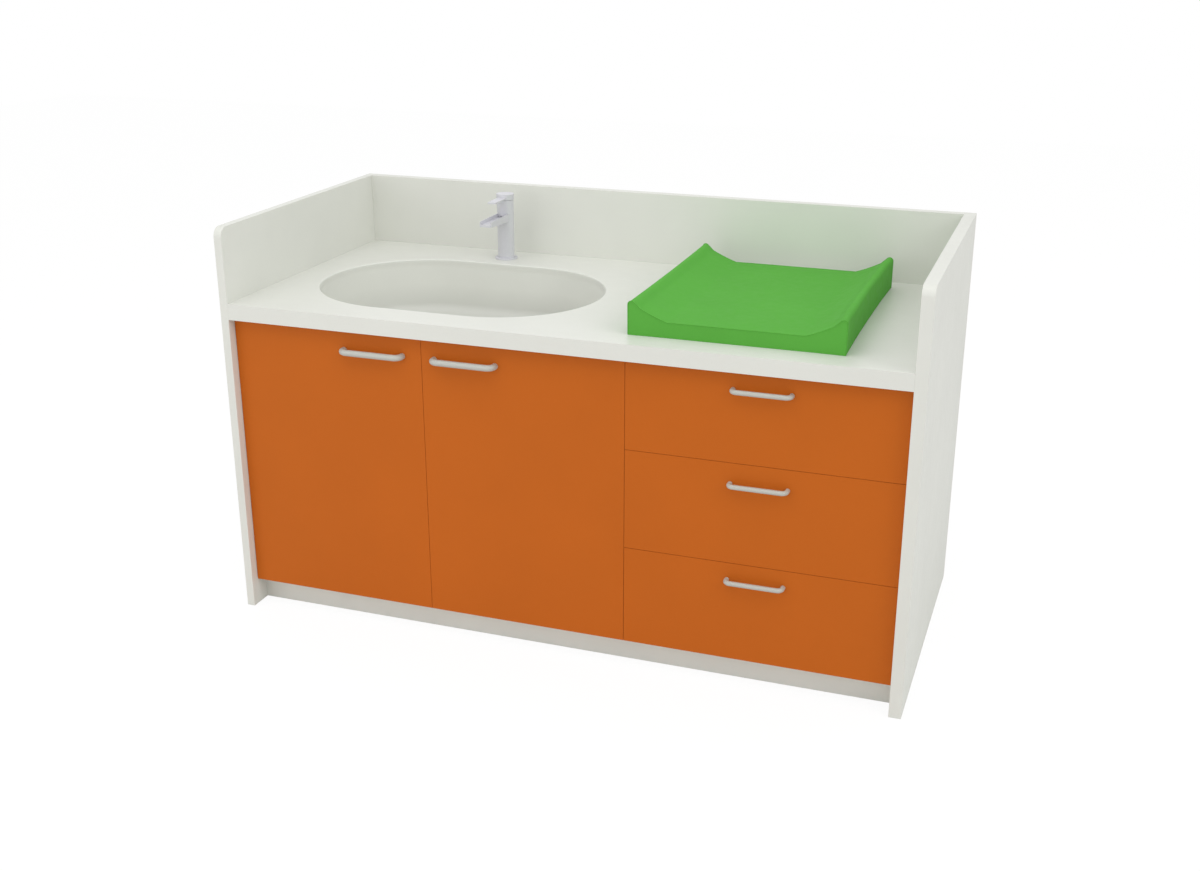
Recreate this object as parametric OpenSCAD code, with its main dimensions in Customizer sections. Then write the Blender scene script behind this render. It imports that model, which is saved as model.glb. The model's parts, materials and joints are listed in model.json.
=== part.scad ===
// Changing table with basin for a nursery: a cabinet with two doors, three drawers, a worktop
// with a bowl let into it, a single-lever tap and a trough-shaped changing mat.
// The origin is on the floor, under the middle of the whole object. +X is to the right as seen
// from the front, +Y is towards the wall and +Z is up.

/* [Cabinet] */
// Width over both side panels
width = 1800; // [1700:10:2200]
// Depth from the side panels' front edges to the wall
depth = 832; // [820:2:900]
// Height of the side panels
side_height = 1060; // [1000:5:1200]
// Thickness of the left side panel
left_side_t = 22; // [16:1:30]
// Thickness of the right side panel
right_side_t = 30; // [16:1:40]
// Radius of the side panels' upper front corners
side_corner_r = 25; // [5:1:60]
// Thickness of the bottom, the partition and the rails
board_t = 19; // [16:1:22]
// Thickness of the cabinet's back panel
back_t = 8; // [4:1:12]
// Thickness of the splashback and of the wall rail under it
splash_t = 28; // [18:1:38]
// Height of the wall rail
wall_rail_h = 80; // [60:5:120]
// Height of the front rails and of the battens under the worktop
rail_h = 36; // [25:1:50]
// Radius of the wall screws' holes
wall_hole_r = 3.5; // [2.5:0.5:5]
// Distance from each compartment's sides to the wall screws' holes
wall_hole_inset = 90; // [50:5:150]
// Width and height of the service opening in the back panel
service_w = 420; // [300:10:600]
service_h = 300; // [200:10:400]
// Height of the service opening's middle above the floor
service_z = 480; // [430:10:540]

/* [Plinth] */
// Height of the fronts' lower edge above the floor
plinth_height = 72; // [50:1:100]
// Distance of the plinth board behind the side panels' front edges
plinth_recess = 67; // [50:1:100]
// Thickness of the plinth boards
plinth_t = 16; // [12:1:22]
// Distance of the rear plinth board from the wall
bearer_recess = 60; // [40:5:120]

/* [Fronts] */
// Distance of the fronts behind the side panels' front edges
front_recess = 25; // [10:1:40]
// Thickness of the doors and drawer fronts
front_t = 19; // [16:1:25]
// Gap round each front
front_gap = 1; // [1:0.5:4]
// Gap between the fronts and the cabinet behind them
front_air = 1.5; // [1:0.5:3]
// Width of the drawers' bay, from the right side panel to the doors
drawer_bay = 678; // [500:1:750]
// Height of the top drawer's front
top_drawer_h = 228.5; // [180:0.5:260]

/* [Hinges] */
// Radius of a hinge cup
cup_r = 17.5; // [13:0.5:20]
// Depth of a hinge cup in the door
cup_depth = 11.5; // [9:0.5:14]
// Distance from the door's edge to the hinge cup
cup_edge = 4.5; // [3:0.5:8]
// Distance of the outer hinges from the door's ends
hinge_inset = 100; // [70:5:150]
// Length, width and height of a hinge arm
arm_l = 62; // [45:1:80]
arm_w = 10; // [8:1:14]
arm_h = 16; // [12:1:24]
// Length, height and thickness of the plate under a hinge arm
plate_l = 36; // [28:1:40]
plate_h = 50; // [36:1:60]
plate_t = 2.5; // [1.5:0.5:4]

/* [Handles] */
// Distance between the legs of a door handle
door_handle_cc = 164; // [96:1:224]
// Radius of a door handle's bar
door_handle_r = 8; // [5:0.5:9]
// Distances of the door handles' middles from the edge where the doors meet
left_handle_in = 134.5; // [100:0.5:200]
right_handle_in = 117.5; // [100:0.5:200]
// Distance of a door handle below the door's top
door_handle_drop = 54; // [30:1:80]
// Distance of a door handle's middle line in front of the door
door_handle_stand = 22; // [20:0.5:40]
// Distance between the legs of a drawer handle
drawer_handle_cc = 139; // [96:1:224]
// Radius of a drawer handle's bar
drawer_handle_r = 6; // [4:0.5:8]
// Distances of the drawer handles below their fronts' tops, from the top drawer down
drawer_handle_drops = [46.5, 52, 44]; // [20:0.5:80]
// Distance of the drawer handles to the left of their fronts' middles
drawer_handle_left = 5; // [0:1:40]
// Distance of a drawer handle's middle line in front of the drawer
drawer_handle_stand = 20.5; // [18:0.5:40]
// Radius of the handle screws
screw_r = 2; // [1.5:0.5:3]
// Radius and height of the handle screws' heads
screw_head_r = 4.5; // [4:0.5:6]
screw_head_h = 2.5; // [1.5:0.5:4]

/* [Drawers] */
// Thickness of the drawer boxes' boards
box_t = 12; // [9:1:16]
// Depth of the drawer boxes
box_depth = 650; // [500:10:680]
// Distance of a drawer box above its front's lower edge
box_lift = 22; // [15:1:40]
// Distance of a drawer box below its front's upper edge
box_drop = 52; // [50:1:90]
// Thickness of the drawer floors
box_floor_t = 6; // [3:1:10]
// Distance of a drawer floor above its box's lower edge
floor_lift = 10; // [6:1:20]
// Depth of the grooves that hold a drawer floor
groove = 6; // [3:1:8]
// Width of the space for a runner beside a drawer box
runner_w = 13; // [12:0.5:16]
// Height of a runner's cabinet member
runner_h = 45; // [35:1:50]
// Thickness of the runners' sheet steel
runner_wall = 1.5; // [1:0.1:2]
// Running clearance between the runners' members
runner_air = 0.3; // [0.2:0.1:0.5]

/* [Worktop] */
// Height of the worktop's surface
worktop_height = 862; // [800:2:920]
// Height of the worktop's front edge
worktop_edge = 42; // [30:1:60]
// Thickness of the worktop sheet
sheet_t = 12; // [8:1:16]

/* [Basin] */
// Length of the bowl's opening
basin_length = 786; // [600:2:800]
// Width of the bowl's opening
basin_width = 541; // [400:1:545]
// Distance of the bowl's middle from the cabinet's left
basin_x = 511.5; // [480:0.5:560]
// Share of the free depth, from the front rails to the splashback, in front of the bowl
bowl_share = 0.37; // [0.2:0.01:0.6]
// Depth of the bowl below the worktop
bowl_depth = 158; // [120:1:180]
// Thickness of the bowl
bowl_wall = 8; // [5:1:12]
// Radius between the bowl's wall and its floor
bowl_fillet = 30; // [15:1:50]
// Distance by which the bowl's wall leans inwards
bowl_lean = 8; // [2:1:20]
// Fall of the bowl's floor
bowl_fall = 4; // [1:1:8]
// Radius of the opening's upper edge
rim_r = 4; // [2:0.5:6]
// Width of the flange that is glued under the worktop sheet
flange_w = 25; // [15:1:40]

/* [Waste] */
// Radius of the waste's dish in the bowl
dish_r = 35; // [30:1:40]
// Thickness of the dish
dish_t = 2.5; // [1.5:0.5:4]
// Radius of the waste's threaded tube
waste_r = 22; // [19:1:26]
// Length of the waste's tube below the bowl
waste_l = 50; // [40:1:70]
// Radius of the plug
plug_r = 31; // [26:1:34]
// Radius of the waste pipes
pipe_r = 16; // [14:1:18]
// Wall of the waste pipes and the trap
pipe_wall = 2; // [1.5:0.5:3]
// Radius of the trap's body
trap_r = 27; // [24:1:34]
// Height of the trap's outlet above the floor
trap_z = 500; // [440:5:540]
// Height of the trap's cup
cup_h = 80; // [50:5:110]

/* [Tap] */
// Distance of the tap to the left of the bowl's middle
tap_shift = 16.5; // [0:0.5:40]
// Distance of the tap behind the bowl's opening
tap_back = 72; // [45:1:90]
// Height of the tap above the worktop
tap_height = 188; // [150:1:260]
// Radius of the tap's body
tap_r = 24; // [20:0.5:28]
// Radius and height of the ring under the body
ring_r = 32.5; // [25:0.5:34]
ring_h = 4.5; // [3:0.5:10]
// Reach of the spout from the tap's middle
spout_reach = 142; // [110:1:180]
// Width of the spout
spout_w = 35; // [26:1:40]
// Height of the spout's upper side above the worktop at the body
spout_z = 133; // [110:1:150]
// Height of the spout at the body and at its tip
spout_root_h = 22; // [18:1:40]
spout_tip_h = 15; // [13:0.5:20]
// Drop of the spout's upper side towards the tip
spout_drop = 0; // [0:0.5:10]
// Thickness of the spout's sides
spout_wall = 2.5; // [1.5:0.5:4]
// Depth of the spout's open channel at the body and at its tip
channel_root = 10; // [6:0.5:16]
channel_tip = 9; // [3:0.5:11]
// Reach of the lever's blade from the tap's middle
blade_reach = 97; // [70:1:130]
// Width and thickness of the blade
blade_w = 24; // [16:1:30]
blade_t = 4.5; // [3:0.5:7]
// Radius and thickness of the lever's cap
cap_r = 25; // [22:0.5:30]
cap_t = 9; // [6:0.5:14]
// Gap between the body and the lever's cap
cap_gap = 8; // [8:0.5:12]
// Radius of the cartridge
cartridge_r = 17.5; // [15:0.5:19]
// Height of the cartridge
cartridge_h = 40; // [30:1:50]
// Depth of the swivelling carrier in the cartridge
carrier_depth = 16; // [14:0.5:20]
// Radius of the hole for the tap in the worktop
tap_hole_r = 17.5; // [16:0.5:20]
// Outer radius of the copper water inlets
inlet_r = 5; // [4:0.5:6]
// Wall of the copper water inlets
inlet_wall = 1; // [0.7:0.1:1.2]
// Radius at which the inlets bend to the back
inlet_bend = 30; // [20:1:40]
// Straight length of the inlets behind their bend
inlet_l = 40; // [30:1:55]
// Distance of the inlets' ends below the service opening's top edge
inlet_below = 40; // [25:1:60]

/* [Mat] */
// Width of the mat
mat_w = 530; // [450:2:640]
// Length of the mat from front to back
mat_l = 660; // [550:2:690]
// Distance of the mat's middle from the right side panel
mat_x = 428.5; // [340:0.5:450]
// Distance of the mat's middle behind the worktop's middle
mat_back = 6; // [-20:1:30]
// Height of the mat in its middle
mat_mid_h = 39.5; // [25:0.5:60]
// Height of the mat's raised sides
mat_crest_h = 87; // [65:1:110]
// Width of the flat middle
mat_flat_w = 330; // [260:2:400]
// Distance of the crests from the mat's sides
mat_crest_in = 15; // [10:1:24]
// Radius of the mat's lower edges
mat_foot_r = 3; // [2:1:14]
// Depth by which the mat's sides draw in between its corners
mat_draw = 4; // [0:1:10]

/* [Hidden] */

// Facets of round surfaces
$fn = 64;
// Extra length of a cutting shape past the face that it cuts
over = 1;
// Clearance of a seated piece, of a fastener in its hole and of a pin in its bore
seat_air = 0.3;
screw_air = 0.2;
pin_air = 0.05;
// Clearance between the worktop's core and the bowl's flange
core_air = 2;

// Colours of the pieces
front_colour = "#BE6021";
board_colour = "#E0E1DC";
inside_colour = "#D6D3C8";
core_colour = "#C2A67C";
metal_colour = "#BEBEC4";
handle_colour = "#C8CDC6";
plastic_colour = "#F0F0EE";
mat_colour = "#60AF49";

// Side to side
left_x = -width / 2;
right_x = width / 2;
left_in = left_x + left_side_t;
right_in = right_x - right_side_t;
bay_x = right_in - drawer_bay;
doors_mid_x = (left_in + bay_x) / 2;
bowl_x = left_x + basin_x;
tap_x = bowl_x - tap_shift;
mat_mid_x = right_in - mat_x;

// Front to back
foremost = min(
    0,
    front_recess - door_handle_stand - door_handle_r,
    front_recess - drawer_handle_stand - drawer_handle_r
);
front_y = -(depth + foremost) / 2;
wall_y = front_y + depth;
splash_y = wall_y - splash_t;
fronts_y = front_y + front_recess;
fronts_back = fronts_y + front_t;
carcass_y = fronts_back + front_air;
worktop_mid_y = (front_y + splash_y) / 2;
rails_back = carcass_y + board_t;
free_depth = splash_y - rails_back - bowl_wall - basin_width - tap_back - ring_r;
bowl_y = rails_back + bowl_share * free_depth + bowl_wall + basin_width / 2;
tap_y = bowl_y + basin_width / 2 + tap_back;

// Heights
bottom_z = plinth_height + front_gap;
bottom_top = bottom_z + board_t;
core_z = worktop_height - worktop_edge;
sheet_z = worktop_height - sheet_t;
fronts_top = core_z - front_gap;
fronts_h = fronts_top - plinth_height;
wall_rail_z = core_z - wall_rail_h;

// Drawers, from the top down
low_drawer_h = (fronts_h - top_drawer_h - 2 * front_gap) / 2;
drawer_h = [top_drawer_h, low_drawer_h, low_drawer_h];
drawer_z = [
    fronts_top - top_drawer_h,
    plinth_height + low_drawer_h + front_gap,
    plinth_height
];
drawer_left = bay_x + front_gap / 2;
drawer_right = right_in - front_gap;
drawer_mid_x = (drawer_left + drawer_right) / 2;
drawer_handle_x = drawer_mid_x - drawer_handle_left;
bay_left = bay_x + board_t / 2;
box_left = bay_left + runner_w;
box_right = right_in - runner_w;

// Bowl
bowl_r = basin_width / 2;
bowl_straight = basin_length - basin_width;
bowl_z = worktop_height - bowl_depth;
flange_t = bowl_wall;

// Tap
tap_top = worktop_height + tap_height;
cap_z = tap_top - cap_t;
body_top = cap_z - cap_gap;
cartridge_z = body_top - cartridge_h - 0.5;
carrier_r = cartridge_r - 2 - seat_air;
carrier_h = 7;
carrier_z = cartridge_z + cartridge_h - carrier_depth;
lever_pivot_z = carrier_z + carrier_h / 2;
inlet_z = service_z + service_h / 2 - inlet_below;

module board(x0, x1, y0, y1, z0, z1) {
    translate([x0, y0, z0]) cube([x1 - x0, y1 - y0, z1 - z0]);
}

module ring(outer, inner, height) {
    difference() {
        cylinder(r = outer, h = height);
        translate([0, 0, -over]) cylinder(r = inner, h = height + 2 * over);
    }
}

// A shape that lies along +Y instead of +Z
module along_y() {
    rotate([-90, 0, 0]) children();
}

// Cabinet

module side_panel(x0, thickness) {
    translate([x0, 0, 0]) rotate([90, 0, 90]) linear_extrude(thickness) union() {
        translate([front_y, 0]) square([depth, side_height - side_corner_r]);
        translate([front_y + side_corner_r, 0]) square([depth - side_corner_r, side_height]);
        translate([front_y + side_corner_r, side_height - side_corner_r])
            circle(r = side_corner_r);
    }
}

module left_side_panel() {
    color(board_colour) side_panel(left_x, left_side_t);
}

module right_side_panel() {
    color(board_colour) side_panel(right_in, right_side_t);
}

module bottom_panel() {
    color(board_colour) board(left_in, right_in, carcass_y, splash_y, bottom_z, bottom_top);
}

module partition() {
    color(board_colour) board(bay_left - board_t, bay_left, carcass_y, splash_y, bottom_top, core_z);
}

module back_panel() {
    color(board_colour) difference() {
        board(left_in, right_in, splash_y, splash_y + back_t, bottom_z, wall_rail_z);
        translate([bowl_x - service_w / 2, splash_y - over, service_z - service_h / 2])
            cube([service_w, back_t + 2 * over, service_h]);
    }
}

module splashback() {
    color(board_colour) board(left_in, right_in, splash_y, wall_y, core_z, side_height);
}

// The wall screws pass through holes near both sides of each compartment
wall_hole_x = [
    left_in + wall_hole_inset,
    bay_left - board_t - wall_hole_inset,
    bay_left + wall_hole_inset,
    right_in - wall_hole_inset
];

module wall_rail() {
    color(board_colour) difference() {
        board(left_in, right_in, splash_y, wall_y, wall_rail_z, core_z);
        for (x = wall_hole_x)
            translate([x, splash_y - over, wall_rail_z + (wall_rail_h - rail_h) / 2])
                along_y() cylinder(r = wall_hole_r, h = splash_t + 2 * over);
    }
}

module plinth_boards() {
    color(board_colour) {
        board(left_in, right_in, front_y + plinth_recess, front_y + plinth_recess + plinth_t,
            0, bottom_z);
        board(left_in, right_in, wall_y - bearer_recess - plinth_t, wall_y - bearer_recess,
            0, bottom_z);
    }
}

module front_rails() {
    color(board_colour) {
        board(left_in, bay_left - board_t, carcass_y, rails_back, core_z - rail_h, core_z);
        board(bay_left, right_in, carcass_y, rails_back, core_z - rail_h, core_z);
    }
}

module worktop_battens() {
    batten_y = splash_y - board_t;
    side_end = batten_y - seat_air;
    color(core_colour) {
        board(left_in, left_in + board_t, rails_back, side_end, core_z - rail_h, core_z);
        board(right_in - board_t, right_in, rails_back, side_end, core_z - rail_h, core_z);
        board(left_in, bay_left - board_t, batten_y, splash_y, core_z - rail_h, core_z);
        board(bay_left, right_in, batten_y, splash_y, core_z - rail_h, core_z);
    }
}

// Worktop and bowl

// Sweeps a half profile, x outwards and y up, round the bowl's oblong
module round_bowl() {
    translate([bowl_x, bowl_y, 0]) {
        for (side = [-1, 1])
            translate([side * bowl_straight / 2, 0, 0]) rotate_extrude() children();
        translate([-bowl_straight / 2, 0, 0]) rotate([90, 0, 90]) linear_extrude(bowl_straight) {
            children();
            mirror([1, 0]) children();
        }
    }
}

module tap_hole() {
    translate([tap_x, tap_y, core_z - over]) cylinder(r = tap_hole_r, h = worktop_edge + 2 * over);
}

module worktop() {
    rim_steps = 8;
    color(board_colour) difference() {
        union() {
            board(left_in, right_in, front_y, splash_y, sheet_z, worktop_height);
            board(left_in, right_in, front_y, front_y + sheet_t, core_z, sheet_z);
        }
        round_bowl() polygon(concat(
            [[0, sheet_z - over], [bowl_r, sheet_z - over]],
            [for (i = [0 : rim_steps]) let (a = 90 * i / rim_steps)
                [bowl_r + rim_r - rim_r * cos(a), worktop_height - rim_r + rim_r * sin(a)]],
            [[bowl_r + rim_r, worktop_height + over], [0, worktop_height + over]]
        ));
        tap_hole();
    }
}

module worktop_core() {
    cut_r = bowl_r + bowl_wall + flange_w + core_air;
    color(core_colour) difference() {
        board(left_in, right_in, front_y + sheet_t, splash_y, core_z, sheet_z);
        round_bowl() polygon([
            [0, core_z - over], [cut_r, core_z - over], [cut_r, sheet_z + over], [0, sheet_z + over]
        ]);
        tap_hole();
    }
}

// Half of the bowl's section, at a wall's thickness outside its inner face
function bowl_half(out, top) = let (
    steps = 10,
    floor_r = bowl_r - bowl_lean - bowl_fillet,
    knee_z = bowl_z + bowl_fall + bowl_fillet
) concat(
    [[0, bowl_z - out]],
    [for (i = [0 : steps]) let (a = 90 * i / steps) [
        floor_r + (bowl_fillet + out) * sin(a),
        knee_z - (bowl_fillet + out) * cos(a)
    ]],
    [[bowl_r + out, sheet_z - flange_t], [bowl_r + out, top], [0, top]]
);

module basin() {
    color(board_colour) difference() {
        union() {
            round_bowl() polygon(bowl_half(bowl_wall, sheet_z));
            round_bowl() polygon([
                [0, sheet_z - flange_t], [bowl_r + bowl_wall + flange_w, sheet_z - flange_t],
                [bowl_r + bowl_wall + flange_w, sheet_z], [0, sheet_z]
            ]);
        }
        round_bowl() polygon(bowl_half(0, sheet_z + over));
        translate([bowl_x, bowl_y, bowl_z]) cylinder(r = dish_r + seat_air, h = bowl_fall + over);
        translate([bowl_x, bowl_y, bowl_z - bowl_wall - over])
            cylinder(r = waste_r + seat_air, h = bowl_wall + 2 * over);
    }
}

// Waste and trap

plug_stem_r = 4;
waste_bore_r = waste_r - 3;
waste_end_z = bowl_z - bowl_wall - waste_l;
hub_z = bowl_z - bowl_wall - 14;
gasket_t = 3;
nut_h = 12;

module at_waste(z) {
    translate([bowl_x, bowl_y, z]) children();
}

module waste_body() {
    hub_h = 6;
    color(metal_colour) {
        difference() {
            union() {
                at_waste(bowl_z) cylinder(r = dish_r, h = dish_t);
                at_waste(waste_end_z) cylinder(r = waste_r, h = bowl_z - waste_end_z);
            }
            at_waste(waste_end_z - over)
                cylinder(r = waste_bore_r, h = bowl_z - waste_end_z + dish_t + 2 * over);
        }
        difference() {
            union() {
                at_waste(hub_z) cylinder(r = plug_stem_r + 3, h = hub_h);
                for (a = [0, 120, 240])
                    at_waste(hub_z) rotate([0, 0, a]) translate([plug_stem_r + 1, -1.5, 0])
                        cube([waste_bore_r - plug_stem_r - 0.5, 3, hub_h]);
            }
            at_waste(hub_z - over) cylinder(r = plug_stem_r + pin_air, h = hub_h + 2 * over);
        }
    }
}

module waste_plug() {
    plug_z = bowl_z + dish_t + seat_air;
    color(metal_colour) {
        at_waste(plug_z) cylinder(r1 = plug_r - 1, r2 = plug_r, h = 2);
        at_waste(plug_z + 2) cylinder(r1 = plug_r, r2 = plug_r - 3, h = 2);
        at_waste(hub_z - 8) cylinder(r = plug_stem_r, h = plug_z - hub_z + 9);
    }
}

// The clamping nut under the bowl and the three slip nuts of the trap
slip_nut_r = pipe_r + 8;
slip_nut_h = 20;
trap_neck_z = trap_z + 34;
outlet_y = bowl_y + trap_r + 18;
slip_z = waste_end_z - slip_nut_h / 2;

module waste_nuts() {
    color(plastic_colour) {
        at_waste(bowl_z - bowl_wall - gasket_t - nut_h) ring(waste_r + 12, waste_r + screw_air, nut_h);
        at_waste(bowl_z - bowl_wall - gasket_t) ring(waste_r + 10, waste_r + screw_air, gasket_t);
        at_waste(slip_z) difference() {
            cylinder(r = waste_r + 4, h = slip_nut_h);
            translate([0, 0, -over]) cylinder(r = pipe_r + screw_air, h = slip_nut_h + 2 * over);
            translate([0, 0, slip_nut_h / 2 - over])
                cylinder(r = waste_r + screw_air, h = slip_nut_h / 2 + 2 * over);
        }
        at_waste(trap_neck_z) ring(slip_nut_r, pipe_r + screw_air, slip_nut_h);
        translate([bowl_x, outlet_y, trap_z]) along_y()
            ring(slip_nut_r, pipe_r + screw_air, slip_nut_h);
    }
}

bead_from_wall = 60;

module waste_pipes() {
    tail_low = trap_z - 20;
    color(plastic_colour) {
        at_waste(tail_low) ring(pipe_r, pipe_r - pipe_wall, waste_end_z - tail_low - seat_air);
        translate([bowl_x, outlet_y, trap_z]) along_y()
            ring(pipe_r, pipe_r - pipe_wall, wall_y - outlet_y);
        translate([bowl_x, wall_y - bead_from_wall, trap_z]) along_y()
            ring(pipe_r + 2, pipe_r - pipe_wall, 4);
    }
}

module trap_body() {
    skirt_z = trap_z - 28;
    color(plastic_colour) difference() {
        union() {
            at_waste(skirt_z) cylinder(r = trap_r, h = trap_neck_z - skirt_z);
            translate([bowl_x, bowl_y, trap_z]) along_y()
                cylinder(r = pipe_r + 4, h = outlet_y - bowl_y);
        }
        at_waste(skirt_z - over)
            cylinder(r = trap_r - pipe_wall - 1, h = trap_neck_z - skirt_z - 3 + over);
        at_waste(trap_neck_z - 4) cylinder(r = pipe_r + screw_air, h = 4 + over);
        translate([bowl_x, bowl_y, trap_z]) along_y()
            cylinder(r = pipe_r - pipe_wall, h = outlet_y - bowl_y + over);
    }
}

module trap_cup() {
    cup_top = trap_z - 22;
    color(plastic_colour) at_waste(cup_top - cup_h) difference() {
        cylinder(r = trap_r + seat_air + pipe_wall, h = cup_h);
        translate([0, 0, pipe_wall]) cylinder(r = trap_r - pipe_wall, h = cup_h);
        translate([0, 0, cup_h - 6 - seat_air])
            cylinder(r = trap_r + seat_air, h = 6 + seat_air + over);
    }
}

// Tap

module at_tap(z) {
    translate([tap_x, tap_y, z]) children();
}

// Radius of the inlets' shanks and their distance from the tap's middle
inlet_shank_r = 4.5;
inlet_side = 9.5;
inlet_bore_r = 2.8;
// Radius of the fixing stud and its distance behind the tap's middle
stud_r = 4;
stud_back = 11.5;
// Depth of the holes in the body's foot
blind = 14;

module tap_base_ring() {
    color(metal_colour) at_tap(worktop_height) ring(ring_r, tap_hole_r, ring_h);
}

// Width, height and depth of the slot through which the body fills the spout's channel, and
// its height above the channel's floor
outlet_w = 16;
outlet_h = 3.5;
outlet_depth = 8;
outlet_lift = 0.3;

module tap_body() {
    foot = worktop_height + ring_h;
    outlet_z = worktop_height + spout_z - channel_root + outlet_lift;
    color(metal_colour) difference() {
        at_tap(foot) cylinder(r = tap_r, h = body_top - foot);
        at_tap(cartridge_z) cylinder(r = cartridge_r + seat_air, h = cartridge_h + 2 * over);
        at_tap(foot - over) translate([0, stud_back, 0])
            cylinder(r = stud_r + pin_air, h = blind + over);
        for (side = [-1, 1])
            at_tap(foot - over) translate([side * inlet_side, 0, 0])
                cylinder(r = inlet_shank_r + pin_air, h = blind + over);
        at_tap(outlet_z) translate([-outlet_w / 2, -tap_r - over, 0])
            cube([outlet_w, outlet_depth + over, outlet_h]);
    }
}

// A side view, y outwards and z up, drawn out to a width across the tap's middle
module across_tap(across) {
    translate([tap_x - across / 2, tap_y, 0]) rotate([90, 0, 90]) linear_extrude(across)
        children();
}

// The spout is a trough, open towards the top and at its tip, brazed to the body
module tap_spout() {
    top = worktop_height + spout_z;
    tip = top - spout_drop;
    color(metal_colour) difference() {
        across_tap(spout_w) polygon([
            [0, top - spout_root_h], [-tap_r, top - spout_root_h],
            [-spout_reach, tip - spout_tip_h], [-spout_reach, tip], [-tap_r, top], [0, top]
        ]);
        across_tap(spout_w - 2 * spout_wall) polygon([
            [0, top - channel_root], [-tap_r, top - channel_root],
            [-spout_reach - over, tip - channel_tip], [-spout_reach - over, top + over],
            [0, top + over]
        ]);
        at_tap(top - spout_root_h - over)
            cylinder(r = tap_r + pin_air, h = spout_root_h + 2 * over);
    }
}

// The stem tilts on a cross pin in the carrier, which swivels in the cartridge
stem_r = 4;
stem_pin_r = 1.5;
stem_in_cap = 4;
stem_slot = 14;
stem_pin_half = 9;
// How far the lever lifts, in degrees, and the length of stem that this leaves below its pin
lever_lift = 20;
stem_foot = (carrier_h / 2 - stem_r * sin(lever_lift)) / cos(lever_lift);

module tap_cartridge() {
    color(plastic_colour) at_tap(cartridge_z) difference() {
        cylinder(r = cartridge_r, h = cartridge_h);
        translate([0, 0, cartridge_h - carrier_depth - seat_air])
            cylinder(r = carrier_r + seat_air, h = carrier_depth + seat_air + over);
    }
}

module tap_carrier() {
    slot_w = 2 * (stem_r + seat_air);
    color(plastic_colour) difference() {
        at_tap(carrier_z) cylinder(r = carrier_r, h = carrier_h);
        at_tap(carrier_z - over) translate([-slot_w / 2, -stem_slot / 2, 0])
            cube([slot_w, stem_slot, carrier_h + 2 * over]);
        at_tap(lever_pivot_z) translate([-carrier_r - over, 0, 0]) rotate([0, 90, 0])
            cylinder(r = stem_pin_r + pin_air, h = 2 * (carrier_r + over));
    }
}

module tap_stem() {
    stem_low = lever_pivot_z - stem_foot;
    color(metal_colour) {
        at_tap(stem_low) cylinder(r = stem_r, h = cap_z + stem_in_cap - pin_air - stem_low);
        at_tap(lever_pivot_z) translate([-stem_pin_half, 0, 0]) rotate([0, 90, 0])
            cylinder(r = stem_pin_r, h = 2 * stem_pin_half);
    }
}

module tap_lever() {
    blade_in = 0.5;
    color(metal_colour) difference() {
        union() {
            at_tap(cap_z) cylinder(r = cap_r, h = cap_t);
            at_tap(cap_z - blade_t + blade_in) difference() {
                translate([-blade_w / 2, -blade_reach, 0])
                    cube([blade_w, blade_reach - stem_r - 6, blade_t]);
                translate([0, 0, -over]) ring(3 * blade_reach, blade_reach, blade_t + 2 * over);
            }
        }
        at_tap(cap_z - over) cylinder(r = stem_r + pin_air, h = stem_in_cap + over);
    }
}

module tap_inlets() {
    shank_low = core_z - 12;
    bend_z = inlet_z + inlet_bend;
    bore_r = inlet_r - inlet_wall;
    color(metal_colour) for (side = [-1, 1]) translate([side * inlet_side, 0, 0]) {
        at_tap(shank_low)
            ring(inlet_shank_r, inlet_bore_r, worktop_height + ring_h + blind - 1 - shank_low);
        at_tap(bend_z) ring(inlet_r, bore_r, shank_low - bend_z);
        at_tap(bend_z) translate([0, inlet_bend, 0]) rotate([90, 0, 90]) rotate([0, 0, 180])
            rotate_extrude(angle = 90) translate([inlet_bend, 0]) difference() {
                circle(r = inlet_r);
                circle(r = bore_r);
            }
        at_tap(inlet_z) translate([0, inlet_bend, 0]) along_y() ring(inlet_r, bore_r, inlet_l);
    }
}

module tap_fixings() {
    clamp_t = 3;
    nut = 7;
    stud_low = core_z - 42;
    color(metal_colour) {
        at_tap(core_z - clamp_t) difference() {
            cylinder(r = tap_hole_r + 8, h = clamp_t);
            translate([-inlet_side - inlet_shank_r - 1, -tap_hole_r - 10, -over])
                cube([2 * (inlet_side + inlet_shank_r + 1), tap_hole_r + 16, clamp_t + 2 * over]);
            translate([0, stud_back, -over])
                cylinder(r = stud_r + screw_air, h = clamp_t + 2 * over);
        }
        at_tap(stud_low) translate([0, stud_back, 0])
            cylinder(r = stud_r, h = worktop_height + ring_h + blind - 1 - stud_low);
        at_tap(core_z - clamp_t - nut) translate([0, stud_back, 0]) difference() {
            cylinder(r = 7.5, h = nut, $fn = 6);
            translate([0, 0, -over]) cylinder(r = stud_r + pin_air, h = nut + 2 * over);
        }
    }
}

// Changing mat: a section across it, swept from front to back

// Slope with which a ramp leaves the flat middle, as a share of its mean slope
mat_start = 0.77;

// Height of the mat's top at a distance from its middle line
function mat_top(x) = let (
    flat = mat_flat_w / 2,
    crest = mat_w / 2 - mat_crest_in,
    t = max(0, min(1, (abs(x) - flat) / (crest - flat)))
) mat_mid_h + (mat_crest_h - mat_mid_h) * t * (mat_start + (1 - mat_start) * t);

// Points on a foot, on a shoulder, down a ramp and across the middle
mat_foot = 4;
mat_shoulder = 6;
mat_ramp = 9;
mat_middle = 6;

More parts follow.
